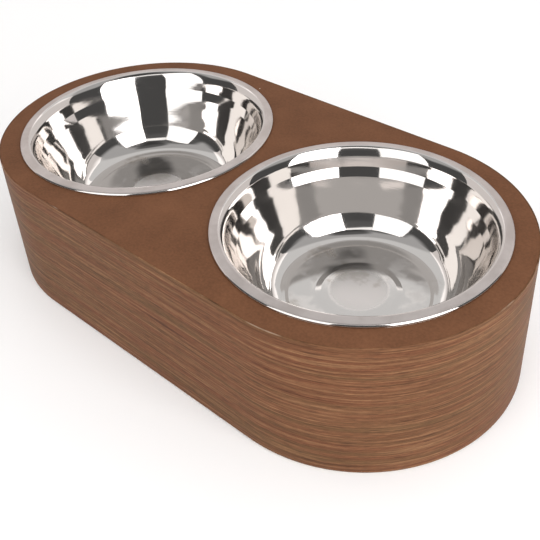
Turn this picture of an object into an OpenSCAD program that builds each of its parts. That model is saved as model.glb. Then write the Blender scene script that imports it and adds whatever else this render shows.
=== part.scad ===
// Raised double pet bowl: a hollow wooden stand with round ends that holds two steel bowls.
// The bowls hang by their rims in two round openings and lift straight out for washing.
// Frame: +X along the stand, +Y to the back, +Z up, origin on the floor under the middle.

/* [Bowls] */
// Outer diameter of a bowl over its rim
rim_d = 190; // [170:1:230]
// Depth of a bowl, from the face that it hangs on to the underside of its base
bowl_depth = 58; // [48:1:66]
// Thickness of the steel sheet
sheet_t = 0.7; // [0.5:0.05:1]
// Width of the flat rim
rim_w = 6.5; // [6:0.5:9]
// Height of the rim above the face that it rests on
rim_h = 2.6; // [2.2:0.1:4]
// How far the wall leans in between the step and the slope above the base
wall_lean = 11.5; // [9:0.5:14]
// Radius between that slope and the base
base_round = 14.5; // [12:0.5:16]

/* [Stand] */
// Wood left between a rim and the outside of the stand
rim_margin = 15; // [12:0.5:30]
// Wood left between the two rims
rim_gap = 10; // [6:1:40]
// Height of the top face above the floor
stand_h = 102; // [80:1:160]
// Height of the walls' lower edge above the floor
wall_low = 1.5; // [1:0.1:3]
// Thickness of the top panel
top_t = 12; // [10:1:20]
// Thickness of the bent and straight walls
wall_t = 12; // [10:0.5:14]
// Thickness of the veneer that wraps the sides
veneer_t = 0.6; // [0.4:0.1:1.5]
// Thickness of the bottom panel
bottom_t = 6; // [5:0.5:10]
// Thickness of the brace between the two wells
brace_t = 12; // [8:1:15]

/* [Feet] */
// Height of a rubber foot
foot_h = 4; // [3.5:0.1:8]
// Diameter of a rubber foot
foot_d = 20; // [16:0.5:24]

/* [Hidden] */
$fn = 96;
overrun = 1;

// Bowl details
rim_fall = 0.5;
rim_edge_round = 1.5;
rim_inner_round = 1.8;
shoulder_w = 2.8;
shoulder_h = 3;
shoulder_round = 13;
band_h = 11.5;
band_taper = 3.2;
step_w = 2.9;
step_h = 6.8;
step_round = 1.2;
wall_bow = 0.36;
bow_share = 0.2;
slope_w = 9.6;
slope_h = 9.8;
bend_spare = 0.3;
plinth_inset = 9;
plinth_h = 0.6;
plinth_slope_w = 2;
plinth_dish = 0.2;
disc_inset = 20;
disc_rise = 0.4;
disc_slope_w = 4;
plinth_round = 1.2;
arc_steps = 8;
bowl_clearance = 3;

// Wall and panel details
glue_gap = 0.1;
seam_gap = 0.2;
rabbet_w = 6;
rabbet_gap = 0.3;
hole_chamfer = 1;
housing_depth = 3;
block_len = 40;
block_reveal = 0.4;

// Dowels and screws
dowel_d = 6;
dowel_len = 30;
dowel_in_panel = 8;
dowel_gap = 0.05;
hole_spare = 1;
end_dowel_turn = 45;
joint_dowel_inset = 22;
screw_d = 3.5;
screw_len = 22;
screw_head_d = 7;
screw_head_h = 2;
screw_gap = 0.05;
screw_point_h = 4;
screw_tip_d = 0.6;
cross_w = 0.9;
cross_len = 4;
cross_depth = 1.2;
brace_screw_inset = 45;
foot_screw_stop = 1;
foot_head_h = 1.6;
foot_taper = 1;
foot_sink_d = 9;
foot_sink_h = 2;
foot_screw_hole_spare = 0.4;
foot_inset = 5;
foot_turn = 50;

// Derived sizes of the stand
end_r = rim_d / 2 + rim_margin;
spacing = rim_d + rim_gap;
core_r = end_r - veneer_t - glue_gap;
wall_in_r = core_r - wall_t;
wall_mid_r = core_r - wall_t / 2;
wall_top = stand_h - top_t;
body_r = rim_d / 2 - rim_w - shoulder_w;
hole_r = body_r + bowl_clearance;
block_t = wall_in_r - hole_r - block_reveal;
block_mid_r = wall_in_r - block_t / 2;
floor_top = foot_h + bottom_t;
foot_ring_r = wall_in_r - foot_d / 2 - foot_inset;
brace_half = wall_in_r + housing_depth - glue_gap;
foot_screw_len = foot_h - foot_sink_h + bottom_t - foot_screw_stop;

// Plan outline: a rectangle with a half circle at each end
module stadium(r) {
    square([spacing, 2 * r], center = true);
    for (side = [-1, 1])
        translate([side * spacing / 2, 0]) circle(r);
}

// Stadium-shaped slab between two heights
module slab(r, low, high) {
    translate([0, 0, low]) linear_extrude(high - low) stadium(r);
}

function unit(v) = v / norm(v);
function left_of(v) = [-v[1], v[0]];
function turn_of(a, b) = atan2(a[0] * b[1] - a[1] * b[0], a * b);
function reversed(list) = [for (i = [len(list) - 1:-1:0]) list[i]];

// Corner i of a line of corners, moved sideways by offset with its two sides kept parallel
function moved_corner(corners, i, offset) =
    let (here = corners[i],
        before = i == 0 ? corners[1] - here : here - corners[i - 1],
        after = i == len(corners) - 1 ? before : corners[i + 1] - here,
        n1 = left_of(unit(before)),
        n2 = left_of(unit(after)))
    here + offset * (n1 + n2) / (1 + n1 * n2);

// Points of an arc of radius r that rounds the corner b between a and c
function rounded_corner(a, b, c, r) =
    let (d1 = unit(b - a),
        d2 = unit(c - b),
        turn = turn_of(d1, d2),
        side = sign(turn),
        start = b - d1 * r * tan(abs(turn) / 2),
        centre = start + side * r * left_of(d1))
    [for (k = [0:arc_steps])
        let (angle = turn * k / arc_steps,
            arm = start - centre)
        centre + [arm[0] * cos(angle) - arm[1] * sin(angle),
            arm[0] * sin(angle) + arm[1] * cos(angle)]];

// A line of corners with each one rounded, moved sideways by offset; rounds[i] is for corner i
function rounded_line(corners, rounds, offset) =
    let (last = len(corners) - 1,
        moved = [for (i = [0:last]) moved_corner(corners, i, offset)])
    concat([moved[0]],
        [for (i = [1:last - 1])
            let (turn = turn_of(corners[i] - corners[i - 1], corners[i + 1] - corners[i]))
            each rounded_corner(moved[i - 1], moved[i], moved[i + 1], rounds[i] - sign(turn) * offset)],
        [moved[last]]);

// Middle of the steel sheet, from the turned-down rim edge to the middle of the base.
// Heights are above the face that the rim rests on.
edge_r = rim_d / 2 - sheet_t / 2;
rim_top = rim_h - sheet_t / 2;
base_z = sheet_t / 2 - bowl_depth;
shoulder_r = body_r - sheet_t / 2;
band_low_r = shoulder_r - band_taper;
step_low_r = band_low_r - step_w;
slope_r = step_low_r - wall_lean;
slope_z = base_z + slope_h;
base_r = slope_r - slope_w;
plinth_r = base_r - plinth_inset;
disc_r = plinth_r - disc_inset;
plinth_z = base_z + plinth_h;
dish_z = plinth_z - plinth_dish;
disc_z = dish_z + disc_rise;
slope_turn = atan2(slope_h, slope_w);
// The wall is bowed out a little: a corner half way down it, with a round that takes a share of each half
wall_foot = [slope_r, slope_z];
wall_head = [step_low_r, -band_h - step_h];
wall_mid = (wall_head + wall_foot) / 2 + [wall_bow, 0];
mid_turn = abs(turn_of(wall_mid - wall_head, wall_foot - wall_mid));
mid_round = bow_share * norm(wall_foot - wall_mid) / tan(mid_turn / 2);
// The bend between the wall and the slope takes what the base's round leaves of the slope
wall_turn = abs(turn_of(wall_foot - wall_mid, [-slope_w, -slope_h]));
bend_round = (norm([slope_w, slope_h]) - base_round * tan(slope_turn / 2) - bend_spare) / tan(wall_turn / 2);
bowl_corners = [
    [edge_r, 0],
    [edge_r, rim_top - rim_fall],
    [shoulder_r + shoulder_w, rim_top],
    [shoulder_r, rim_top - shoulder_h],
    [band_low_r, -band_h],
    wall_head,
    wall_mid,
    wall_foot,
    [base_r, base_z],
    [plinth_r, base_z],
    [plinth_r - plinth_slope_w, plinth_z],
    [disc_r, dish_z],
    [disc_r - disc_slope_w, disc_z],
    [0, disc_z]];
bowl_rounds = [0, rim_edge_round, rim_inner_round, shoulder_round, step_round, step_round, mid_round,
    bend_round, base_round, plinth_round, plinth_round, plinth_round, plinth_round, 0];

// One pressed steel bowl, hanging at a side's well
module bowl(side) {
    inner = rounded_line(bowl_corners, bowl_rounds, -sheet_t / 2);
    outer = rounded_line(bowl_corners, bowl_rounds, sheet_t / 2);
    color("silver")
        translate([side * spacing / 2, 0, stand_h])
            rotate_extrude() polygon(concat(inner, reversed(outer)));
}

module left_bowl() { bowl(-1); }
module right_bowl() { bowl(1); }

// Places on the wall's middle line where a dowel holds the top panel: [x, y]
straight_dowel_x = spacing / 4;
panel_dowel_spots = concat(
    [for (x = [-1, 1], y = [-1, 1]) [x * straight_dowel_x, y * wall_mid_r]],
    [for (side = [-1, 1], turn = [-end_dowel_turn, 0, end_dowel_turn])
        [side * (spacing / 2 + wall_mid_r * cos(turn)), wall_mid_r * sin(turn)]]);

// Holes that the panel dowels sit in, through the joint between wall and top panel
module panel_dowel_holes() {
    low = wall_top - (dowel_len - dowel_in_panel) - hole_spare;
    high = wall_top + dowel_in_panel + hole_spare;
    for (spot = panel_dowel_spots)
        translate([spot[0], spot[1], low]) cylinder(d = dowel_d + 2 * dowel_gap, h = high - low);
}

module panel_dowels() {
    color("burlywood")
        for (spot = panel_dowel_spots)
            translate([spot[0], spot[1], wall_top + dowel_in_panel - dowel_len])
                cylinder(d = dowel_d, h = dowel_len);
}

// Dowels that lie along X across each joint between a straight and a bent wall
joint_dowel_heights = [wall_low + joint_dowel_inset, wall_top - joint_dowel_inset];

module along_joints(x_len, d) {
    for (x = [-1, 1], y = [-1, 1], z = joint_dowel_heights)
        translate([x * spacing / 2 - x_len / 2, y * wall_mid_r, z])
            rotate([0, 90, 0]) cylinder(d = d, h = x_len);
}

module joint_dowel_holes() { along_joints(dowel_len + 2 * hole_spare, dowel_d + 2 * dowel_gap); }

module joint_dowels() { color("burlywood") along_joints(dowel_len, dowel_d); }

// Top panel with the two openings that the bowls hang in
module top_panel() {
    color([0.44, 0.29, 0.21])
        difference() {
            slab(core_r, wall_top, stand_h);
            for (side = [-1, 1])
                translate([side * spacing / 2, 0, 0]) {
                    translate([0, 0, wall_top - overrun]) cylinder(r = hole_r, h = top_t + 2 * overrun);
                    translate([0, 0, stand_h - hole_chamfer])
                        cylinder(r1 = hole_r, r2 = hole_r + hole_chamfer + overrun,
                            h = hole_chamfer + overrun);
                }
            panel_dowel_holes();
        }
}

// Wall ring with the rabbet that takes the bottom panel and the holes for its dowels
module wall_ring() {
    difference() {
        slab(core_r, wall_low, wall_top);
        slab(wall_in_r, wall_low - overrun, wall_top + overrun);
        slab(wall_in_r + rabbet_w, wall_low - overrun, floor_top);
        panel_dowel_holes();
        joint_dowel_holes();
    }
}

// Straight wall at the front (-1) or the back (1), with a housing for the brace
module straight_wall(side) {
    color([0.60, 0.47, 0.34])
        difference() {
            intersection() {
                wall_ring();
                translate([-spacing / 2, side > 0 ? 0 : -end_r, 0]) cube([spacing, end_r, stand_h]);
            }
            translate([-brace_t / 2 - glue_gap, side > 0 ? 0 : -wall_in_r - housing_depth, floor_top])
                cube([brace_t + 2 * glue_gap, wall_in_r + housing_depth, stand_h]);
        }
}

module front_wall() { straight_wall(-1); }
module back_wall() { straight_wall(1); }

// Half-round bent wall at the left (-1) or the right (1) end
module end_wall(side) {
    color([0.66, 0.52, 0.37])
        intersection() {
            wall_ring();
            translate([side > 0 ? spacing / 2 : -spacing / 2 - end_r, -end_r, 0])
                cube([end_r, 2 * end_r, stand_h]);
        }
}

module left_end_wall() { end_wall(-1); }
module right_end_wall() { end_wall(1); }

// Veneer round the wall and the panel's edge, butted at the middle of the back
module veneer_band() {
    color([0.46, 0.32, 0.22])
        difference() {
            slab(end_r, wall_low, stand_h);
            slab(end_r - veneer_t, wall_low - overrun, stand_h + overrun);
            translate([-seam_gap / 2, end_r - veneer_t - overrun, wall_low - overrun])
                cube([seam_gap, veneer_t + 2 * overrun, stand_h]);
        }
}

// Places of the long screws that hold the bottom panel: [x, y]
bottom_screw_spots = concat(
    [for (x = [-1, 1], y = [-1, 1]) [x * spacing / 2, y * block_mid_r]],
    [for (x = [-1, 1]) [x * (spacing / 2 + block_mid_r), 0]],
    [for (y = [-1, 1]) [0, y * (wall_in_r - brace_screw_inset)]]);

// Pilot holes that the long screws sit in
module bottom_screw_holes() {
    for (spot = bottom_screw_spots)
        translate([spot[0], spot[1], foot_h - overrun])
            cylinder(d = screw_d + 2 * screw_gap, h = screw_len + overrun + hole_spare);
}

// Cross recess for a driver, cut upwards from a head's face at z = 0
module cross_recess() {
    for (turn = [0, 90])
        rotate(turn)
            translate([-cross_len / 2, -cross_w / 2, -overrun])
                cube([cross_len, cross_w, cross_depth + overrun]);
}

// Shank and point of a wood screw, from z = 0 up
module shank(length) {
    cylinder(d = screw_d, h = length - screw_point_h);
    translate([0, 0, length - screw_point_h]) cylinder(d1 = screw_d, d2 = screw_tip_d, h = screw_point_h);
}

module bottom_screws() {
    color("lightgray")
        for (spot = bottom_screw_spots)
            translate([spot[0], spot[1], foot_h])
                difference() {
                    union() {
                        cylinder(d1 = screw_head_d, d2 = screw_d, h = screw_head_h);
                        shank(screw_len);
                    }
                    cross_recess();
                }
}

// Brace across the stand between the two wells
module centre_brace() {
    color([0.60, 0.47, 0.34])
        difference() {
            translate([-brace_t / 2, -brace_half, floor_top])
                cube([brace_t, 2 * brace_half, wall_top - floor_top]);
            bottom_screw_holes();
        }
}

// Block that backs the wall round a side's well; turn 0 faces it to the back
module wall_block(side, turn) {
    color([0.70, 0.56, 0.40])
        difference() {
            intersection() {
                slab(wall_in_r - glue_gap, floor_top, wall_top);
                translate([side * spacing / 2, 0, 0]) rotate(turn)
                    translate([-block_len / 2, hole_r + block_reveal, 0]) cube([block_len, end_r, stand_h]);
            }
            bottom_screw_holes();
        }
}

module front_left_block() { wall_block(-1, 180); }
module front_right_block() { wall_block(1, 180); }
module back_left_block() { wall_block(-1, 0); }
module back_right_block() { wall_block(1, 0); }
module left_end_block() { wall_block(-1, 90); }
module right_end_block() { wall_block(1, -90); }

// Places of the feet: [x, y]
corner_foot_x = spacing / 2 + foot_ring_r * cos(foot_turn);
corner_foot_y = foot_ring_r * sin(foot_turn);
function foot_spot(x_side, y_side) =
    x_side == 0 ? [0, y_side * foot_ring_r] : [x_side * corner_foot_x, y_side * corner_foot_y];
foot_spots = [for (x_side = [-1, 0, 1], y_side = [-1, 1]) foot_spot(x_side, y_side)];

// Bottom panel, set up into the rabbet so that the feet stand out by less than their height
module bottom_panel() {
    color([0.72, 0.60, 0.44])
        difference() {
            slab(wall_in_r + rabbet_w - rabbet_gap, foot_h, floor_top);
            bottom_screw_holes();
            for (spot = bottom_screw_spots)
                translate([spot[0], spot[1], foot_h - screw_gap])
                    cylinder(d1 = screw_head_d + 2 * screw_gap, d2 = screw_d + 2 * screw_gap,
                        h = screw_head_h + screw_gap);
            for (spot = foot_spots)
                translate([spot[0], spot[1], foot_h - overrun])
                    cylinder(d = screw_d + 2 * screw_gap,
                        h = foot_screw_len + foot_sink_h - foot_h + foot_screw_hole_spare + overrun);
        }
}

// Rubber foot, with a sunk seat for its screw
module foot(x_side, y_side) {
    spot = foot_spot(x_side, y_side);
    color([0.10, 0.10, 0.10])
        translate([spot[0], spot[1], 0])
            difference() {
                cylinder(d1 = foot_d - 2 * foot_taper, d2 = foot_d, h = foot_h);
                translate([0, 0, -overrun]) cylinder(d = foot_sink_d, h = foot_sink_h + overrun);
                cylinder(d = screw_d + 2 * screw_gap, h = foot_h + overrun);
            }
}

module front_left_foot() { foot(-1, -1); }
module front_middle_foot() { foot(0, -1); }
module front_right_foot() { foot(1, -1); }
module back_left_foot() { foot(-1, 1); }
module back_middle_foot() { foot(0, 1); }
module back_right_foot() { foot(1, 1); }

// Short pan-head screws that hold the feet
module foot_screws() {
    color("lightgray")
        for (spot = foot_spots)
            translate([spot[0], spot[1], foot_sink_h])
                difference() {
                    union() {
                        translate([0, 0, -foot_head_h]) cylinder(d = screw_head_d, h = foot_head_h);
                        shank(foot_screw_len);
                    }
                    translate([0, 0, -foot_head_h]) cross_recess();
                }
}

top_panel();
front_wall();
back_wall();
left_end_wall();
right_end_wall();
veneer_band();
centre_brace();
bottom_panel();
front_left_block();
front_right_block();
back_left_block();
back_right_block();
left_end_block();
right_end_block();
panel_dowels();
joint_dowels();
bottom_screws();
front_left_foot();
front_middle_foot();
front_right_foot();
back_left_foot();
back_middle_foot();
back_right_foot();
foot_screws();
left_bowl();
right_bowl();
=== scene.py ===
import math

import bmesh
import bpy
import numpy as np
from mathutils import Matrix, Vector


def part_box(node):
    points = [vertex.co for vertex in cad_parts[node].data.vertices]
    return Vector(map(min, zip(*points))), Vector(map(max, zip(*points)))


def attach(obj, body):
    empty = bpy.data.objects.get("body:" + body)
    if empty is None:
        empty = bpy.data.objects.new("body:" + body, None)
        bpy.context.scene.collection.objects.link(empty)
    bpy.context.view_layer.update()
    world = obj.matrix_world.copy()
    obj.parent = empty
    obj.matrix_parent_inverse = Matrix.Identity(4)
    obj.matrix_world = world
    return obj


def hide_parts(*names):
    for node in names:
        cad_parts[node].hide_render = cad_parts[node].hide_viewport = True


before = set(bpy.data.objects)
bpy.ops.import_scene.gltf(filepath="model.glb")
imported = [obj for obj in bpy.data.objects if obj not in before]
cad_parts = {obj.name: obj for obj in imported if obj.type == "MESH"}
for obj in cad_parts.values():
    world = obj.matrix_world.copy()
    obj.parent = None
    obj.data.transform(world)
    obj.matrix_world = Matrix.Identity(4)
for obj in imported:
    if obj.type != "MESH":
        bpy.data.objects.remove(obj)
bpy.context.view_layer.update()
mm = 0.001
fullTurn = 2 * math.pi
tiny = 1e-9  # keeps a division finite


# Camera

# Aim point, direction and roll of the view; shift is in frame widths
camera = {
    "aim": (-4.08 * mm, 59.07 * mm, 56.5 * mm),
    "azimuth": 41.788,
    "elevation": 33.885,
    "distance": 631.6 * mm,
    "roll": -2.304,
    "lens": 54.526,
    "sensor": 36,
    "nearest": 10 * mm,
    "shift": (-0.05, -0.16),
}


def direction(azimuth, elevation):
    # unit vector from the object outwards: (sin a cos e, -cos a cos e, sin e)
    a, e = math.radians(azimuth), math.radians(elevation)
    return Vector((math.sin(a) * math.cos(e), -math.cos(a) * math.cos(e), math.sin(e)))


def placeCamera():
    # right is level and up is back x right; both are then rolled about back
    back = direction(camera["azimuth"], camera["elevation"])
    right = direction(camera["azimuth"] + 90, 0)
    up = back.cross(right)
    turn = math.radians(camera["roll"])
    rolledRight = right * math.cos(turn) + up * math.sin(turn)
    rolledUp = up * math.cos(turn) - right * math.sin(turn)
    data = bpy.data.cameras.new("camera")
    data.sensor_width = camera["sensor"]
    data.lens = camera["lens"]
    data.shift_x, data.shift_y = camera["shift"]
    data.clip_start = camera["nearest"]
    eye = bpy.data.objects.new("camera", data)
    place = Matrix((rolledRight, rolledUp, back)).transposed().to_4x4()
    place.translation = Vector(camera["aim"]) + back * camera["distance"]
    eye.matrix_world = place
    bpy.context.collection.objects.link(eye)
    bpy.context.scene.camera = eye


placeCamera()
bpy.context.scene.view_settings.view_transform = "Standard"
print("camera placed")


# Mesh helpers

mergeDistance = 1e-7


def gridFaces(rows, cols, closeCols):
    # quad (i, j), (i, j+1), (i+1, j+1), (i+1, j) for each cell of the grid; the columns may close into
    # a ring
    i = np.arange(rows - 1)[:, None]
    j = np.arange(cols if closeCols else cols - 1)[None, :]
    on = (j + 1) % cols
    corners = [i * cols + j, i * cols + on, (i + 1) * cols + on, (i + 1) * cols + j]
    return np.stack(corners, axis=-1).reshape(-1, 4)


def makePiece(name, points, faces, sharpAngle, uv=None):
    # merges what closes seams and poles, and turns the closed shell's faces outwards
    mesh = bpy.data.meshes.new(name)
    mesh.from_pydata(points.reshape(-1, 3).tolist(), [], faces)
    if uv is not None:
        corners = np.empty(len(mesh.loops), dtype=np.int32)
        mesh.loops.foreach_get("vertex_index", corners)
        layer = mesh.uv_layers.new(name="UVMap")
        layer.data.foreach_set("uv", uv.reshape(-1, 2)[corners].astype(np.float32).ravel())
    work = bmesh.new()
    work.from_mesh(mesh)
    bmesh.ops.remove_doubles(work, verts=work.verts, dist=mergeDistance)
    if work.calc_volume(signed=True) < 0:
        bmesh.ops.reverse_faces(work, faces=work.faces)
    openEdges = sum(not edge.is_manifold for edge in work.edges)
    work.to_mesh(mesh)
    work.free()
    mesh.polygons.foreach_set("use_smooth", np.ones(len(mesh.polygons), dtype=bool))
    mesh.set_sharp_from_angle(angle=math.radians(sharpAngle))
    piece = bpy.data.objects.new(name, mesh)
    bpy.context.collection.objects.link(piece)
    print("made", name, len(mesh.polygons), "faces, open edges:", openEdges)
    return piece


def dress(piece, material, body, nodes):
    piece.data.materials.append(material)
    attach(piece, body)
    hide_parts(*nodes)


# Node helpers


def addNode(tree, kind, values=None, links=None, **settings):
    node = tree.nodes.new("ShaderNode" + kind)
    for key, value in settings.items():
        setattr(node, key, value)
    for key, value in (values or {}).items():
        node.inputs[key].default_value = value
    for key, source in (links or {}).items():
        tree.links.new(source, node.inputs[key])
    return node


def newGroup(name, inputs, outputs):
    group = bpy.data.node_groups.new(name, "ShaderNodeTree")
    for label, kind, value in inputs:
        socket = group.interface.new_socket(label, in_out="INPUT", socket_type="NodeSocket" + kind)
        if value is not None:
            socket.default_value = value
    for label, kind in outputs:
        group.interface.new_socket(label, in_out="OUTPUT", socket_type="NodeSocket" + kind)
    entry = group.nodes.new("NodeGroupInput").outputs
    leave = group.nodes.new("NodeGroupOutput").inputs
    return group, entry, leave


def useGroup(tree, group, values, links):
    return addNode(tree, "Group", values, links, node_tree=group).outputs


def maths(tree, operation, first, second=None, third=None):
    node = tree.nodes.new("ShaderNodeMath")
    node.operation = operation
    for slot, value in enumerate((first, second, third)):
        if isinstance(value, (int, float)):
            node.inputs[slot].default_value = value
        elif value is not None:
            tree.links.new(value, node.inputs[slot])
    return node.outputs[0]


def ramp(tree, value, low, high, lowTo=0.0, highTo=1.0):
    # smooth step of value from low to high
    node = addNode(tree, "MapRange", {"From Min": low, "From Max": high, "To Min": lowTo, "To Max": highTo},
                   {"Value": value}, interpolation_type="SMOOTHSTEP")
    return node.outputs["Result"]


def fallingRamp(tree, value, low, high):
    return ramp(tree, value, low, high, 1.0, 0.0)


def noise(tree, vector, scale, detail=2.0, roughness=0.5):
    values = {"Scale": scale, "Detail": detail, "Roughness": roughness}
    return addNode(tree, "TexNoise", values, {"Vector": vector}).outputs["Fac"]


def stretch(tree, vector, scale, location=(0, 0, 0)):
    node = addNode(tree, "Mapping", {"Scale": scale, "Location": location}, {"Vector": vector})
    return node.outputs["Vector"]


def scaledColour(tree, colour, factor):
    # a fixed or varying colour times a factor that varies over the surface
    fixed = isinstance(colour, tuple)
    values = {0: colour[:3]} if fixed else {}
    links = {"Scale": factor} if fixed else {0: colour, "Scale": factor}
    return addNode(tree, "VectorMath", values, links, operation="SCALE").outputs["Vector"]


def mixColour(tree, factor, first, second):
    # Blender's Mix node has its colour's factor, first and second at these sockets
    node = addNode(tree, "Mix", data_type="RGBA")
    for slot, value in ((0, factor), (6, first), (7, second)):
        if isinstance(value, (int, float, tuple)):
            node.inputs[slot].default_value = value
        else:
            tree.links.new(value, node.inputs[slot])
    return node.outputs[2]


def newMaterial(name, constants):
    material = bpy.data.materials.new(name)
    material.use_nodes = True
    tree = material.node_tree
    shader = next(node for node in tree.nodes if node.type == "BSDF_PRINCIPLED")
    for key, value in constants.items():
        shader.inputs[key].default_value = value
    return material, tree, shader


def bump(tree, shader, height, strength, distance):
    node = addNode(tree, "Bump", {"Strength": strength, "Distance": distance}, {"Height": height})
    tree.links.new(node.outputs["Normal"], shader.inputs["Normal"])


def objectCoordinates(tree):
    return tree.nodes.new("ShaderNodeTexCoord").outputs["Object"]


# Shared effects


def makeFineSpeckle():
    # fine pits and slow mottling in one brightness factor, the pits as a height, and rare flecks as a mask
    group, entry, leave = newGroup(
        "fineSpeckle",
        [("Vector", "Vector", None), ("Pit Scale", "Float", 1500.0), ("Mottle Scale", "Float", 45.0),
         ("Amount", "Float", 0.1), ("Fleck Scale", "Float", 42.0), ("Fleck Rarity", "Float", 0.72),
         ("Fleck Size", "Float", 0.02)],
        [("Brightness", "Float"), ("Height", "Float"), ("Flecks", "Float")])
    vector = entry["Vector"]
    pits = addNode(group, "TexNoise", {"Detail": 2.0}, {"Vector": vector, "Scale": entry["Pit Scale"]})
    mottle = addNode(group, "TexNoise", {"Detail": 4.0}, {"Vector": vector, "Scale": entry["Mottle Scale"]})
    both = maths(group, "ADD", pits.outputs["Fac"], mottle.outputs["Fac"])
    swing = maths(group, "MULTIPLY", maths(group, "SUBTRACT", both, 1.0), entry["Amount"])
    group.links.new(maths(group, "ADD", swing, 1.0), leave["Brightness"])
    group.links.new(pits.outputs["Fac"], leave["Height"])
    cells = addNode(group, "TexVoronoi", None, {"Vector": vector, "Scale": entry["Fleck Scale"]}).outputs
    chance = addNode(group, "SeparateColor", None, {"Color": cells["Color"]}).outputs[0]
    few = maths(group, "GREATER_THAN", chance, entry["Fleck Rarity"])
    near = maths(group, "LESS_THAN", cells["Distance"], entry["Fleck Size"])
    group.links.new(maths(group, "MULTIPLY", few, near), leave["Flecks"])
    return group


# Noise of the wood fibres: scale along the sheet, into it and up its height, then detail and roughness
fibreLayers = {
    "Bands": {"scale": (4, 4, 120), "detail": 3.0, "roughness": 0.5},
    "Streaks": {"scale": (11, 11, 640), "detail": 4.0, "roughness": 0.68},
    "Fibres": {"scale": (130, 130, 1300), "detail": 3.0, "roughness": 0.78},
}
pores = {"scale": (60, 60, 900), "from": (0.58, 0.70)}


def makeFibreGrain():
    # wood fibres: noise stretched along one axis at three widths, and short dark pores where a fourth is high
    group, entry, leave = newGroup(
        "fibreGrain",
        [("Vector", "Vector", None)],
        [("Bands", "Float"), ("Streaks", "Float"), ("Fibres", "Float"), ("Pores", "Float")])
    for label, layer in fibreLayers.items():
        wood = stretch(group, entry["Vector"], layer["scale"])
        group.links.new(noise(group, wood, 1.0, layer["detail"], layer["roughness"]), leave[label])
    dashes = noise(group, stretch(group, entry["Vector"], pores["scale"]), 1.0)
    group.links.new(ramp(group, dashes, *pores["from"]), leave["Pores"])
    return group


fineSpeckle = makeFineSpeckle()
fibreGrain = makeFibreGrain()


def speckledMaterial(name, look, constants):
    # the colour times the speckle's brightness, with flecks where the look has them; roughness is
    # (lowest, swing)
    material, tree, shader = newMaterial(name, constants)
    speckle = useGroup(tree, fineSpeckle, look["speckle"], {"Vector": objectCoordinates(tree)})
    shade = scaledColour(tree, look["colour"], speckle["Brightness"])
    if "fleck" in look:
        shade = mixColour(tree, speckle["Flecks"], shade, look["fleck"])
    tree.links.new(shade, shader.inputs["Base Color"])
    lowest, swing = look["roughness"]
    rough = maths(tree, "MULTIPLY_ADD", speckle["Height"], swing, lowest)
    tree.links.new(rough, shader.inputs["Roughness"])
    bump(tree, shader, speckle["Height"], look["relief"], look["depth"])
    return material


# Steel bowls

# Middle line of the sheet: its start (radius, height above the stand's top face), then each straight side
# as (inwards, upwards), and the radius that rounds each corner
bowl = {
    "sheet": 0.7 * mm,
    "hangs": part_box("top_panel")[1].z,
    "start": np.array([94.65, 0.35]) * mm,
    "sides": np.array([
        (0, 1.4), (6.5, 0.5), (2.8, -3), (3.2, -10.75), (2.9, -6.8), (5.39, -14.775), (6.11, -14.775),
        (9.6, -9.8), (9, 0), (2, 0.6), (18, -0.2), (4, 0.4), (25.15, 0)]) * mm,
    "rounds": np.array([0, 1.5, 1.8, 13, 1.2, 1.2, 148.6, 37.8, 14.5, 1.2, 1.2, 1.2, 1.2, 0]) * mm,
    "turns": 288,
    "arcStep": 3.6,
    "straightStep": 3.0 * mm,
    "edgePoints": 7,
    "sharpAngle": 60,
}
# Uneven surface of the pressed sheet: how many waves, their number round the bowl and their length down
# its wall in mm, and the radii at which they fade at the rim, on the wall and in the very middle
dents = {
    "height": 0.05 * mm,
    "count": 16,
    "around": (3, 15),
    "pitch": (20, 70),
    "typicalSum": 2.5,
    "rim": 88 * mm,
    "rimFade": 5 * mm,
    "wall": 50 * mm,
    "wallFade": 20 * mm,
    "onFloor": 0.12,
    "middleFade": 12 * mm,
    "seeds": {"left_bowl": 5, "right_bowl": 11},
}


def movedCorners(corners, offset):
    # each corner moves by offset along its sides' normals n1, n2: corner + offset (n1 + n2) / (1 + n1.n2)
    side = np.diff(corners, axis=0)
    side /= np.linalg.norm(side, axis=1, keepdims=True)
    left = np.stack([-side[:, 1], side[:, 0]], axis=1)
    before = np.vstack([left[:1], left])
    after = np.vstack([left, left[-1:]])
    return corners + offset * (before + after) / (1 + (before * after).sum(axis=1, keepdims=True))


def roundedLine(corners, offset):
    # straight runs between arcs; an arc is centre + arm turned from nothing to the corner's full turn
    moved = movedCorners(corners, offset)
    parts = [moved[:1]]
    for k in range(1, len(corners) - 1):
        d1 = (moved[k] - moved[k - 1]) / np.linalg.norm(moved[k] - moved[k - 1])
        d2 = (moved[k + 1] - moved[k]) / np.linalg.norm(moved[k + 1] - moved[k])
        turn = math.atan2(d1[0] * d2[1] - d1[1] * d2[0], d1 @ d2)
        hand = math.copysign(1, turn)
        radius = bowl["rounds"][k] - hand * offset
        start = moved[k] - d1 * radius * math.tan(abs(turn) / 2)
        centre = start + hand * radius * np.array([-d1[1], d1[0]])
        steps = max(4, math.ceil(abs(math.degrees(turn)) / bowl["arcStep"]))
        angle = np.linspace(0, turn, steps + 1)[:, None]
        arm = start - centre
        arc = centre + np.hstack([arm[0] * np.cos(angle) - arm[1] * np.sin(angle),
                                  arm[0] * np.sin(angle) + arm[1] * np.cos(angle)])
        parts += [runBetween(corners, k, parts[-1][-1], arc[0]), arc]
    parts += [runBetween(corners, len(corners) - 1, parts[-1][-1], moved[-1]), moved[-1:]]
    return np.vstack(parts)


def runBetween(corners, k, start, end):
    # points start + (end - start) s, as many for every offset of the line, so that both faces pair up
    count = int(np.linalg.norm(corners[k] - corners[k - 1]) / bowl["straightStep"])
    share = np.linspace(0, 1, count + 2)[1:-1, None]
    return start + (end - start) * share


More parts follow.
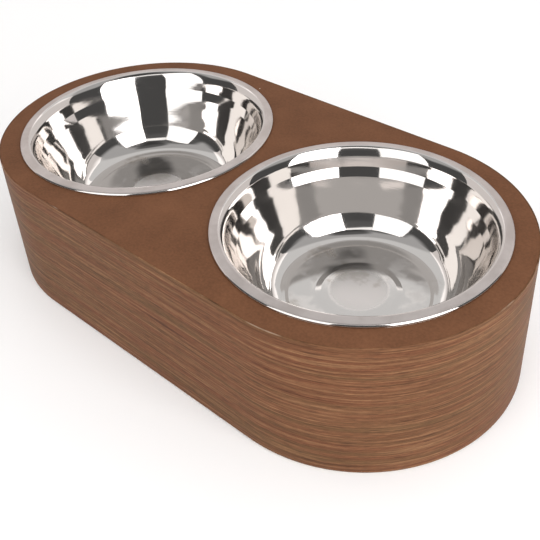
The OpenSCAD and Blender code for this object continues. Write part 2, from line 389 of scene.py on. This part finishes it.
def dentField(line, angles, seed):
    # sum of waves sin(n t + m s + phase) round the bowl and down its wall, nothing at the rim and the very
    # middle
    rng = np.random.default_rng(seed)
    down = np.concatenate([[0], np.cumsum(np.linalg.norm(np.diff(line, axis=0), axis=1))])[:, None]
    field = np.zeros((len(line), len(angles)))
    for _ in range(dents["count"]):
        waves = rng.integers(*dents["around"])
        pitch = rng.uniform(*dents["pitch"]) * mm
        phase = rng.uniform(0, fullTurn)
        field += np.sin(waves * angles + fullTurn * down / pitch + phase) / math.sqrt(waves)
    radius = line[:, :1]
    belowRim = np.clip((dents["rim"] - radius) / dents["rimFade"], 0, 1)
    onWall = np.clip((radius - dents["wall"]) / dents["wallFade"], dents["onFloor"], 1)
    offMiddle = np.clip(radius / dents["middleFade"], 0, 1)
    return dents["height"] * field * belowRim * onWall * offMiddle / dents["typicalSum"]


def makeBowl(node, body):
    # the sheet's two faces and its turned-down edge, turned about the bowl's axis:
    # (x + r cos t, y + r sin t, z)
    low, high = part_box(node)
    centre = ((low.x + high.x) / 2, (low.y + high.y) / 2, bowl["hangs"])
    half = bowl["sheet"] / 2
    corners = bowl["start"] + np.vstack([(0, 0), np.cumsum(bowl["sides"] * (-1, 1), axis=0)])
    lines = [roundedLine(corners, side * half) for side in (-1, 0, 1)]
    angles = np.linspace(0, fullTurn, bowl["turns"], endpoint=False)
    tangent = np.gradient(lines[1], axis=0)
    tangent /= np.linalg.norm(tangent, axis=1, keepdims=True)
    normal = np.stack([-tangent[:, 1], tangent[:, 0]], axis=1)
    raised = normal[:, None, :] * dentField(lines[1], angles, dents["seeds"][node])[:, :, None]
    inner, outer = [line[:, None, :] + raised for line in (lines[0], lines[2])]
    # the turned-down edge ends in a half circle from the inner face to the outer one
    swing = np.linspace(math.pi, fullTurn, bowl["edgePoints"])[1:-1]
    cap = np.stack([corners[0][0] + half * np.cos(swing), corners[0][1] + half * np.sin(swing)], axis=1)
    cap = np.repeat(cap[:, None, :], len(angles), axis=1)
    grid = np.concatenate([inner[::-1], cap, outer])
    points = np.stack([
        centre[0] + grid[..., 0] * np.cos(angles),
        centre[1] + grid[..., 0] * np.sin(angles),
        centre[2] + grid[..., 1]], axis=-1)
    faces = gridFaces(points.shape[0], points.shape[1], True)
    shell = makePiece(node + "_shell", points, faces, bowl["sharpAngle"])
    dress(shell, steelMaterial(node + "_steel", centre), body, [node])


# Marks on the steel. A pair of lengths is the distances from the bowl's axis, or the heights above the
# stand's top face, between which a mark fades in or out
marking = {
    "lineScale": 1800.0,
    "lineRun": (9, 9, 9),
    "rimInside": (88.2 * mm, 88.9 * mm),
    "rimOutside": (93.9 * mm, 94.7 * mm),
    "rimHeight": (0.5 * mm, 1.2 * mm),
    "floor": (52 * mm, 58 * mm),
    "patchInside": (29.5 * mm, 31 * mm),
    "patchOutside": (46 * mm, 48 * mm),
    "patchScale": 70.0,
    "patchFrom": (0.44, 0.66),
    "patchCover": 0.7,
    "disc": (18 * mm, 21.5 * mm),
    # radii inside which the middle of the floor is painted a lighter steel: a painted highlight
    "paintedHighlight": (12 * mm, 19 * mm),
    "smudgeScale": 34.0,
}
steel = {
    "colour": (0.690, 0.662, 0.640, 1),
    # lighter steel painted in the middle of the floor, a painted highlight that brightens its blurred
    # reflection
    "paintedHighlightColour": (0.71, 0.675, 0.655, 1),
    "rimColour": (0.59, 0.54, 0.52, 1),
    "rimDull": (0.50, 0.452, 0.43, 1),
    "rimFrom": (0.38, 0.62),
    "stain": (0.50, 0.455, 0.41, 1),
    "stainFrom": (0.57, 0.65),
    "stainCover": 0.55,
    "polished": 0.022,
    "smudged": 0.08,
    "smudgeFrom": (0.35, 0.75),
    "lineRough": 0.03,
    "floorRough": 0.02,
    "discRough": 0.24,
    "satin": 0.30,
    "satinSwing": 0.12,
    "lineRelief": 0.08,
    "lineDepth": 0.1 * mm,
}


def makeTurnedMarks():
    # turning lines as noise of r - z, where r is the distance to the bowl's axis; masks of the flat rim,
    # floor, satin disc, painted-highlight middle and dull patches, each between its radii; and slow smudges
    group, entry, leave = newGroup(
        "turnedMarks",
        [("Vector", "Vector", None), ("Line Scale", "Float", marking["lineScale"])],
        [("Lines", "Float"), ("Rim", "Float"), ("Floor", "Float"), ("Disc", "Float"), ("Painted Highlight", "Float"),
         ("Patches", "Float"), ("Smudge", "Float")])
    parts = addNode(group, "SeparateXYZ", None, {"Vector": entry["Vector"]}).outputs
    flat = addNode(group, "CombineXYZ", None, {"X": parts["X"], "Y": parts["Y"]}).outputs["Vector"]
    radius = addNode(group, "VectorMath", None, {0: flat}, operation="LENGTH").outputs["Value"]
    across = maths(group, "MULTIPLY", maths(group, "SUBTRACT", radius, parts["Z"]), entry["Line Scale"])
    slow = addNode(group, "SeparateXYZ", None, {"Vector": stretch(group, flat, marking["lineRun"])}).outputs
    around = addNode(group, "CombineXYZ", None, {"X": slow["X"], "Y": slow["Y"], "Z": across})
    group.links.new(noise(group, around.outputs["Vector"], 1.0, 3.0, 0.6), leave["Lines"])
    outside = ramp(group, radius, *marking["rimInside"])
    inside = fallingRamp(group, radius, *marking["rimOutside"])
    above = ramp(group, parts["Z"], *marking["rimHeight"])
    group.links.new(maths(group, "MULTIPLY", maths(group, "MULTIPLY", outside, inside), above), leave["Rim"])
    cloudy = ramp(group, noise(group, entry["Vector"], marking["patchScale"]), *marking["patchFrom"],
                  0.0, marking["patchCover"])
    patchy = maths(group, "MULTIPLY", fallingRamp(group, radius, *marking["patchOutside"]), cloudy)
    ring = ramp(group, radius, *marking["patchInside"])
    group.links.new(maths(group, "MULTIPLY", patchy, ring), leave["Patches"])
    for label, zone in (("Floor", "floor"), ("Disc", "disc"), ("Painted Highlight", "paintedHighlight")):
        group.links.new(fallingRamp(group, radius, *marking[zone]), leave[label])
    group.links.new(noise(group, entry["Vector"], marking["smudgeScale"], 5.0, 0.6), leave["Smudge"])
    return group


turnedMarks = makeTurnedMarks()


def steelMaterial(name, centre):
    material, tree, shader = newMaterial(name, {"Metallic": 1.0})
    vector = stretch(tree, objectCoordinates(tree), (1, 1, 1), tuple(-value for value in centre))
    marks = useGroup(tree, turnedMarks, {}, {"Vector": vector})
    # the middle of the floor is painted a lighter steel colour: a painted highlight
    paintedHighlightColour = mixColour(tree, marks["Painted Highlight"], steel["colour"], steel["paintedHighlightColour"])
    stained = maths(tree, "MULTIPLY", ramp(tree, marks["Smudge"], *steel["stainFrom"]), marks["Floor"])
    cover = maths(tree, "MULTIPLY", stained, steel["stainCover"])
    # stains go over the colour that carries the painted highlight in the middle
    paintedHighlight = mixColour(tree, cover, paintedHighlightColour, steel["stain"])
    bright = ramp(tree, marks["Smudge"], *steel["rimFrom"])
    rim = mixColour(tree, bright, steel["rimDull"], steel["rimColour"])
    tree.links.new(mixColour(tree, marks["Rim"], paintedHighlight, rim), shader.inputs["Base Color"])
    smear = ramp(tree, marks["Smudge"], *steel["smudgeFrom"], steel["polished"], steel["smudged"])
    lined = maths(tree, "MULTIPLY_ADD", marks["Lines"], steel["lineRough"], smear)
    base = maths(tree, "MULTIPLY_ADD", marks["Floor"], steel["floorRough"], lined)
    dull = maths(tree, "MAXIMUM", marks["Disc"], marks["Patches"])
    worked = maths(tree, "MULTIPLY_ADD", dull, steel["discRough"], base)
    rimRoughness = maths(tree, "MULTIPLY_ADD", marks["Lines"], steel["satinSwing"], steel["satin"])
    blend = addNode(tree, "Mix", None, {0: marks["Rim"], 2: worked, 3: rimRoughness}, data_type="FLOAT")
    tree.links.new(blend.outputs[0], shader.inputs["Roughness"])
    bump(tree, shader, marks["Lines"], steel["lineRelief"], steel["lineDepth"])
    return material


makeBowl("left_bowl", "left_bowl")
makeBowl("right_bowl", "right_bowl")


# Stand: veneer band and top board

stand = {
    "half": 100 * mm,
    "outer": 110 * mm,
    "top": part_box("top_panel")[1].z,
    "low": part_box("veneer_band")[0].z,
    "seam": 0.2 * mm,
    "veneer": 0.6 * mm,
    "veneerEdge": 0.25 * mm,
    "core": 109.3 * mm,
    "board": 12 * mm,
    "hole": 88.7 * mm,
    "chamfer": 1.0 * mm,
    "boardEdge": 0.35 * mm,
    "arcSteps": 96,
    "straightPoints": 25,
    "seamPoints": 12,
    "risePoints": 16,
    "innerPoints": 49,
    "outerPoints": 241,
    "faceRows": 8,
    "wrapSharp": 40,
    "boardSharp": 30,
}


def quarter(centre, radius, start, steps=5):
    # quarter circle of (radius, height) points, anticlockwise from the start angle in degrees
    angle = np.radians(np.linspace(start, start + 90, steps))
    return np.stack([centre[0] + radius * np.cos(angle), centre[1] + radius * np.sin(angle)], axis=1)


def stadiumSpine(seam):
    # spine x and outward normal of each point of the outline, from the seam round the left end to the seam
    half = stand["half"]
    swing = np.linspace(math.pi / 2, 3 * math.pi / 2, stand["arcSteps"] + 1)
    straight = np.linspace(-half, half, stand["straightPoints"])[1:-1]
    toLeft = np.linspace(-seam / 2, -half, stand["seamPoints"])[:-1]
    fromRight = np.linspace(half, seam / 2, stand["seamPoints"])[1:]
    leftEnd, rightEnd = np.full(len(swing), -half), np.full(len(swing), half)
    spine = np.concatenate([toLeft, leftEnd, straight, rightEnd, fromRight])
    angle = np.concatenate([np.full(len(toLeft), math.pi / 2), swing, np.full(len(straight), 3 * math.pi / 2),
                            swing + math.pi, np.full(len(fromRight), 5 * math.pi / 2)])
    return spine, np.cos(angle), np.sin(angle)


def makeVeneer():
    # a thin upright profile carried along the outline: (spine + rho nx, rho ny, z)
    outer, thick, edge = stand["outer"], stand["veneer"], stand["veneerEdge"]
    low, top = stand["low"], stand["top"]
    rise = np.linspace(low + edge, top - edge, stand["risePoints"])[1:-1]
    profile = np.vstack([
        quarter((outer - edge, low + edge), edge, -90),
        np.stack([np.full(len(rise), outer), rise], axis=1),
        quarter((outer - edge, top - edge), edge, 0),
        [(outer - thick, top), (outer - thick, low)]])
    spine, nx, ny = stadiumSpine(stand["seam"])
    rho, z = profile[:, :1], profile[:, 1:]
    points = np.stack([spine + rho * nx, rho * ny, z + 0 * nx], axis=-1)
    closed = np.concatenate([points, points[:1]])
    outline = np.stack([spine + outer * nx, outer * ny], axis=1)
    along = np.concatenate([[0], np.cumsum(np.linalg.norm(np.diff(outline, axis=0), axis=1))])
    uv = np.stack([along + 0 * rho, z + 0 * along], axis=-1)
    uv = np.concatenate([uv, uv[:1]])
    rows, cols = closed.shape[:2]
    # the two ends at the seam are closed by one face each
    left = list(range(0, (rows - 1) * cols, cols))
    right = list(range(cols - 1, (rows - 1) * cols, cols))
    faces = gridFaces(rows, cols, False).tolist() + [left[::-1], right]
    band = makePiece("veneer_wrap", closed, faces, stand["wrapSharp"], uv)
    dress(band, veneerMaterial(), "stand", ["veneer_band"])


def makeTopBoard():
    # half the board is a polar grid about its hole: its outer line is at min(edge / |sin t|, half / cos t),
    # or at the edge radius on the round end; the other half is the same one turned by half a turn
    half, top, low = stand["half"], stand["top"], stand["top"] - stand["board"]
    edge, chamfer, hole = stand["boardEdge"], stand["chamfer"], stand["hole"]
    inset = stand["core"] - edge
    corner = math.atan2(inset, half)
    innerTurn = np.linspace(-corner, corner, stand["innerPoints"])
    outerTurn = np.linspace(corner, fullTurn - corner, stand["outerPoints"])
    angles = np.concatenate([innerTurn[:-1], outerTurn[:-1]])
    cosine, sine = np.cos(angles), np.sin(angles)
    toEdge = inset / np.maximum(np.abs(sine), tiny)
    toMiddle = half / np.maximum(cosine, tiny)
    reach = np.where(cosine < 0, inset, np.minimum(toEdge, toMiddle))
    share = np.linspace(0, 1, stand["faceRows"])[1:-1, None]
    faceRows = reach + (hole + chamfer - reach) * share
    strip = [(reach, top)] + [(row, top) for row in faceRows]
    strip += [(hole + chamfer, top), (hole + 0.5 * chamfer, top - 0.5 * chamfer), (hole, top - chamfer)]
    strip += [(hole, (top + low) / 2), (hole, low)] + [(row, low) for row in faceRows[::-1]] + [(reach, low)]
    main = np.stack([np.stack([-half + r * cosine, r * sine, z + 0 * cosine], axis=-1) for r, z in strip])
    # outer wall over the part of the turn that isn't shared with the other half
    cosine, sine = np.cos(outerTurn), np.sin(outerTurn)
    straight = cosine > 0
    startX = np.where(straight, -half + inset * cosine / np.maximum(np.abs(sine), tiny), -half)
    nx = np.where(straight, 0, cosine)
    ny = np.where(straight, np.sign(sine), sine)
    profile = np.vstack([quarter((inset, low + edge), edge, -90), quarter((inset, top - edge), edge, 0)])
    wall = np.stack([startX + profile[:, :1] * nx, profile[:, :1] * ny, profile[:, 1:] + 0 * nx], axis=-1)
    turned = np.array([-1, -1, 1])
    grids = [(main, True), (wall, False), (main * turned, True), (wall * turned, False)]
    points, faces, start = [], [], 0
    for grid, ring in grids:
        quads = gridFaces(grid.shape[0], grid.shape[1], ring)
        faces.append(start + (quads if ring else quads[:, ::-1]))
        points.append(grid.reshape(-1, 3))
        start += len(points[-1])
    board = makePiece("top_board", np.vstack(points), np.vstack(faces).tolist(), stand["boardSharp"])
    dress(board, speckledMaterial("topPaint", paint, {"Specular IOR Level": 0.05}), "stand", ["top_panel"])


paint = {
    "colour": (0.161, 0.071, 0.036, 1),
    "fleck": (0.75, 0.64, 0.54, 1),
    "speckle": {"Pit Scale": 650.0, "Mottle Scale": 40.0, "Amount": 0.5, "Fleck Size": 0.022},
    "roughness": (0.56, 0.12),
    "relief": 0.25,
    "depth": 0.08 * mm,
}
# A pair of shares says between which values of the noise a colour comes in; the worn line is measured down
# from the veneer's top edge
veneer = {
    "tan": (0.235, 0.118, 0.058, 1),
    "tanFrom": (0.45, 0.67),
    "red": (0.146, 0.056, 0.027, 1),
    "redFrom": (0.35, 0.65),
    "olive": (0.124, 0.063, 0.029, 1),
    "dark": (0.050, 0.022, 0.012, 1),
    "darkFrom": (0.44, 0.29),
    "darkCover": 0.85,
    "poreCover": 0.5,
    "fibreSwing": 1.6,
    "fibreLowest": 0.2,
    "edge": (0.40, 0.28, 0.20, 1),
    "edgeDepth": (0.45 * mm, 0.25 * mm),
    "edgeRun": (28, 1, 1),
    "edgeFrom": (0.56, 0.68),
    "edgeCover": 0.7,
    "roughness": (0.45, 0.2),
    "relief": 0.3,
    "depth": 0.06 * mm,
}


def veneerMaterial():
    material, tree, shader = newMaterial("walnutVeneer", {"Specular IOR Level": 0.1})
    uv = tree.nodes.new("ShaderNodeUVMap")
    uv.uv_map = "UVMap"
    # the map's second axis is height, so it becomes the grain's third
    parts = addNode(tree, "SeparateXYZ", None, {"Vector": uv.outputs["UV"]}).outputs
    vector = addNode(tree, "CombineXYZ", None, {"X": parts["X"], "Z": parts["Y"]}).outputs["Vector"]
    grain = useGroup(tree, fibreGrain, {}, {"Vector": vector})
    warm = mixColour(tree, ramp(tree, grain["Bands"], *veneer["redFrom"]), veneer["olive"], veneer["red"])
    lit = mixColour(tree, ramp(tree, grain["Streaks"], *veneer["tanFrom"]), warm, veneer["tan"])
    shadow = ramp(tree, grain["Streaks"], *veneer["darkFrom"], 0.0, veneer["darkCover"])
    deep = mixColour(tree, shadow, lit, veneer["dark"])
    fibre = maths(tree, "MULTIPLY_ADD", grain["Fibres"], veneer["fibreSwing"], veneer["fibreLowest"])
    pore = maths(tree, "MULTIPLY", grain["Pores"], veneer["poreCover"])
    pored = mixColour(tree, pore, scaledColour(tree, deep, fibre), veneer["dark"])
    # bare wood shows in places along the top edge
    begin, full = [stand["top"] - depth for depth in veneer["edgeDepth"]]
    places = noise(tree, stretch(tree, vector, veneer["edgeRun"]), 1.0, 3.0, 0.6)
    bare = ramp(tree, places, *veneer["edgeFrom"])
    line = maths(tree, "MULTIPLY", ramp(tree, parts["Y"], begin, full), bare)
    edged = mixColour(tree, maths(tree, "MULTIPLY", line, veneer["edgeCover"]), pored, veneer["edge"])
    tree.links.new(edged, shader.inputs["Base Color"])
    lowest, swing = veneer["roughness"]
    tree.links.new(maths(tree, "MULTIPLY_ADD", grain["Fibres"], swing, lowest), shader.inputs["Roughness"])
    relief = maths(tree, "SUBTRACT", maths(tree, "ADD", grain["Fibres"], grain["Streaks"]), grain["Pores"])
    bump(tree, shader, relief, veneer["relief"], veneer["depth"])
    return material


makeVeneer()
makeTopBoard()


# Feet

foot = {
    "height": 4.0 * mm,
    "radius": 10.0 * mm,
    "taper": 1.0 * mm,
    "sink": (4.5 * mm, 2.0 * mm),
    "bore": 1.8 * mm,
    "edge": 0.5 * mm,
    "edgeOut": 0.08 * mm,
    "sinkEdge": 0.2 * mm,
    "topEdge": 0.3 * mm,
    "turns": 72,
    "sharpAngle": 40,
}


def makeFoot(node, material):
    # a closed profile turned about the foot's axis: (x + r cos t, y + r sin t, z)
    low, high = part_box(node)
    radius, height, edge, bore = foot["radius"], foot["height"], foot["edge"], foot["bore"]
    sinkRadius, sinkHeight = foot["sink"]
    sinkEdge, topEdge = foot["sinkEdge"], foot["topEdge"]
    rim = quarter((radius - foot["taper"] - edge + foot["edgeOut"], edge), edge, -90)
    profile = np.vstack([
        [(sinkRadius + sinkEdge, 0)],
        rim,
        [(radius, height - topEdge), (radius - topEdge, height), (bore, height), (bore, sinkHeight),
         (sinkRadius, sinkHeight), (sinkRadius, sinkEdge), (sinkRadius + sinkEdge, 0)]])
    angles = np.linspace(0, fullTurn, foot["turns"], endpoint=False)
    rho, z = profile[:, :1], profile[:, 1:]
    points = np.stack([
        (low.x + high.x) / 2 + rho * np.cos(angles),
        (low.y + high.y) / 2 + rho * np.sin(angles),
        z + 0 * angles], axis=-1)
    faces = gridFaces(points.shape[0], points.shape[1], True)
    pad = makePiece(node + "_pad", points, faces, foot["sharpAngle"])
    dress(pad, material, "stand", [node])


# Finishes of the carried-over nodes

# Plain woods: scale is that of the fine fibres and slow that of the bands, along x, y and z
finishes = {
    "core_board": {
        "light": (0.47, 0.33, 0.20, 1), "dark": (0.36, 0.24, 0.14, 1),
        "scale": (900, 900, 900), "slow": (30, 30, 30), "roughness": 0.85, "relief": 0.35},
    "bent_ply": {
        "light": (0.60, 0.44, 0.27, 1), "dark": (0.34, 0.22, 0.12, 1),
        "scale": (60, 60, 1500), "slow": (6, 6, 420), "roughness": 0.7, "relief": 0.3},
    "bottom_board": {
        "light": (0.40, 0.27, 0.16, 1), "dark": (0.27, 0.17, 0.10, 1),
        "scale": (1100, 700, 900), "slow": (24, 24, 24), "roughness": 0.8, "relief": 0.35},
    "pine_block": {
        "light": (0.66, 0.48, 0.28, 1), "dark": (0.42, 0.26, 0.13, 1),
        "scale": (1300, 1300, 50), "slow": (160, 160, 8), "roughness": 0.7, "relief": 0.3},
    "beech_dowel": {
        "light": (0.62, 0.44, 0.27, 1), "dark": (0.45, 0.29, 0.16, 1),
        "scale": (1500, 1500, 1500), "slow": (90, 90, 90), "roughness": 0.65, "relief": 0.25},
}
woodGrain = {
    "fineShare": 0.35,
    "slowShare": 0.65,
    "lightFrom": (0.38, 0.62),
    "roughSwing": 0.2,
    "depth": 0.1 * mm,
}
zinc = {
    "colour": (0.56, 0.57, 0.58),
    "speckle": {"Pit Scale": 2500.0, "Mottle Scale": 400.0, "Amount": 0.25},
    "roughness": (0.22, 0.25),
    "relief": 0.2,
    "depth": 0.05 * mm,
}
rubber = {
    "colour": (0.022, 0.021, 0.021),
    "speckle": {"Pit Scale": 1800.0, "Mottle Scale": 150.0, "Amount": 0.5},
    "roughness": (0.6, 0.2),
    "relief": 0.3,
    "depth": 0.06 * mm,
}


def woodMaterial(slot, look):
    # colour by the weighted sum of fine fibres and slow bands
    material, tree, shader = newMaterial(slot, {"Specular IOR Level": 0.3})
    vector = objectCoordinates(tree)
    fine = noise(tree, stretch(tree, vector, look["scale"]), 1.0, 3.0, 0.6)
    slow = noise(tree, stretch(tree, vector, look["slow"]), 1.0, 4.0, 0.5)
    fineShare = maths(tree, "MULTIPLY", fine, woodGrain["fineShare"])
    both = maths(tree, "MULTIPLY_ADD", slow, woodGrain["slowShare"], fineShare)
    light = ramp(tree, both, *woodGrain["lightFrom"])
    tree.links.new(mixColour(tree, light, look["dark"], look["light"]), shader.inputs["Base Color"])
    swing = woodGrain["roughSwing"]
    rough = maths(tree, "MULTIPLY_ADD", fine, swing, look["roughness"] - swing / 2)
    tree.links.new(rough, shader.inputs["Roughness"])
    bump(tree, shader, both, look["relief"], woodGrain["depth"])
    return material


nodeFinish = {
    "front_wall": "core_board", "back_wall": "core_board", "centre_brace": "core_board",
    "left_end_wall": "bent_ply", "right_end_wall": "bent_ply", "bottom_panel": "bottom_board",
    "front_left_block": "pine_block", "front_right_block": "pine_block", "back_left_block": "pine_block",
    "back_right_block": "pine_block", "left_end_block": "pine_block", "right_end_block": "pine_block",
    "panel_dowels": "beech_dowel", "joint_dowels": "beech_dowel",
    "bottom_screws": "zinc_screw", "foot_screws": "zinc_screw",
}
materials = {slot: woodMaterial(slot, look) for slot, look in finishes.items()}
materials["zinc_screw"] = speckledMaterial("zinc_screw", zinc, {"Metallic": 1.0})
materials["foot_rubber"] = speckledMaterial("foot_rubber", rubber, {"Specular IOR Level": 0.4})
for node, finish in nodeFinish.items():
    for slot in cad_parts[node].material_slots:
        slot.material = materials[finish]
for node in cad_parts:
    if node.endswith("_foot"):
        makeFoot(node, materials["foot_rubber"])
print("finishes assigned")


# Floor and light

floor = {
    "size": 6.0,
    "points": 9,
    "colour": (0.95, 0.95, 0.95),
    "mottleScale": 3.0,
    "mottle": 0.02,
    "roughness": 0.9,
    "glow": 0.07,
}
# Upright softboxes: azimuths of their two sides and elevations of their lower and upper edges as seen from
# the object, distance, brightness and tint
panels = {
    "nearLeft": ((-18, 24), (1, 53), 1.1, 1.75, (1, 0.985, 0.975)),
    "nearRight": ((59, 99), (1, 53), 1.1, 3.8, (1, 0.985, 0.985)),
    "nearTop": ((24.5, 58.5), (47, 53), 1.1, 1.3, (1, 0.985, 0.975)),
    "backLeft": ((245, 301), (2, 40), 1.6, 0.75, (1, 0.935, 0.91)),
    "backMiddle": ((192, 245), (2, 40), 1.6, 0.75, (1, 0.935, 0.91)),
    "backRight": ((138, 192), (2, 40), 1.6, 0.75, (1, 0.935, 0.91)),
}
# Brightness of the room as the object mirrors it: the gaps between the softboxes, and a ceiling that is
# pale over the back half, dimmer over the sides, darkens towards the near edge and has one dark patch.
# Rise is the sine of the elevation, and from is the cosine of the angle to an axis
world = {
    "camera": 1.0,
    "diffuse": 0.57,
    "gaps": 0.085,
    "ceilingRise": (0.50, 0.62),
    "backCeiling": 0.78,
    "backAxis": direction(218, 0),
    "backFrom": (0.05, 0.2),
    "sideCeiling": 0.5,
    "sideFrom": (-0.42, -0.30),
    "nearCeiling": (0.12, 0.6),
    "nearRise": (0.78, 1.0),
    "patch": 0.25,
    "patchAxis": direction(55, 67),
    "patchFrom": (0.95, 0.985),
}


def makeFloor():
    # the flat grid (x, y, 0)
    count = floor["points"]
    span = np.linspace(-floor["size"], floor["size"], count)
    x, y = np.meshgrid(span, span, indexing="ij")
    points = np.stack([x, y, 0 * x], axis=-1)
    mesh = bpy.data.meshes.new("floor")
    mesh.from_pydata(points.reshape(-1, 3).tolist(), [], gridFaces(count, count, False)[:, ::-1].tolist())
    piece = bpy.data.objects.new("floor", mesh)
    material, tree, shader = newMaterial("paleFloor", {
        "Roughness": floor["roughness"], "Specular IOR Level": 0.1,
        "Emission Color": (1, 1, 1, 1), "Emission Strength": floor["glow"]})
    cloudy = noise(tree, objectCoordinates(tree), floor["mottleScale"])
    faint = maths(tree, "MULTIPLY_ADD", cloudy, floor["mottle"], 1 - floor["mottle"] / 2)
    tree.links.new(scaledColour(tree, floor["colour"], faint), shader.inputs["Base Color"])
    mesh.materials.append(material)
    bpy.context.collection.objects.link(piece)


def makeLamp(name, width, height, glow, tint, out, place):
    # power of an even rectangle is pi * radiance * area
    data = bpy.data.lights.new(name, "AREA")
    data.shape = "RECTANGLE"
    data.size, data.size_y = width, height
    data.energy = math.pi * glow * width * height
    data.color = tint
    lamp = bpy.data.objects.new(name, data)
    lamp.location = place
    lamp.rotation_mode = "QUATERNION"
    lamp.rotation_quaternion = out.to_track_quat("Z", "Y")
    lamp.visible_camera = False
    bpy.context.collection.objects.link(lamp)


def makePanels():
    # half the width is distance * tan(half the azimuth span); an edge's height is distance * tan(elevation)
    for name, (sides, edges, distance, glow, tint) in panels.items():
        low, high = [distance * math.tan(math.radians(edge)) for edge in edges]
        width = 2 * distance * math.tan(math.radians((sides[1] - sides[0]) / 2))
        out = direction((sides[0] + sides[1]) / 2, 0)
        place = out * distance + Vector((0, 0, stand["top"] + (low + high) / 2))
        makeLamp(name, width, high - low, glow, tint, out, place)


def facing(tree, vector, axis):
    # cosine of the angle between a direction and an axis
    node = addNode(tree, "VectorMath", {1: tuple(axis)}, {0: vector}, operation="DOT_PRODUCT")
    return node.outputs["Value"]


def makeWorld():
    # strength = diffuse + glossy ray * (mirrored room - diffuse) + camera ray * (camera - diffuse)
    sky = bpy.data.worlds.new("studio")
    sky.use_nodes = True
    bpy.context.scene.world = sky
    tree = sky.node_tree
    surface = next(node for node in tree.nodes if node.type == "BACKGROUND")
    surface.inputs["Color"].default_value = (1, 1, 1, 1)
    path = tree.nodes.new("ShaderNodeLightPath").outputs
    towards = tree.nodes.new("ShaderNodeTexCoord").outputs["Generated"]
    rise = addNode(tree, "SeparateXYZ", None, {"Vector": towards}).outputs["Z"]
    backward = facing(tree, towards, world["backAxis"])
    near = ramp(tree, rise, *world["nearRise"], *world["nearCeiling"])
    toSide = maths(tree, "SUBTRACT", world["sideCeiling"], near)
    sides = maths(tree, "MULTIPLY_ADD", ramp(tree, backward, *world["sideFrom"]), toSide, near)
    inPatch = facing(tree, towards, world["patchAxis"])
    patch = ramp(tree, inPatch, *world["patchFrom"], 1.0, world["patch"])
    backExtra = world["backCeiling"] - world["sideCeiling"]
    back = ramp(tree, backward, *world["backFrom"], 0.0, backExtra)
    ceiling = maths(tree, "MULTIPLY_ADD", sides, patch, back)
    aboveGaps = maths(tree, "SUBTRACT", ceiling, world["gaps"])
    overhead = maths(tree, "MULTIPLY", ramp(tree, rise, *world["ceilingRise"]), aboveGaps)
    mirrored = maths(tree, "ADD", overhead, world["gaps"])
    overDiffuse = maths(tree, "SUBTRACT", mirrored, world["diffuse"])
    glossy = maths(tree, "MULTIPLY", path["Is Glossy Ray"], overDiffuse)
    seen = maths(tree, "MULTIPLY", path["Is Camera Ray"], world["camera"] - world["diffuse"])
    total = maths(tree, "ADD", maths(tree, "ADD", glossy, seen), world["diffuse"])
    tree.links.new(total, surface.inputs["Strength"])


makeFloor()
makePanels()
makeWorld()
# the bowls mirror themselves several times over near their bends
bpy.context.scene.cycles.glossy_bounces = 10
print("floor and light ready")
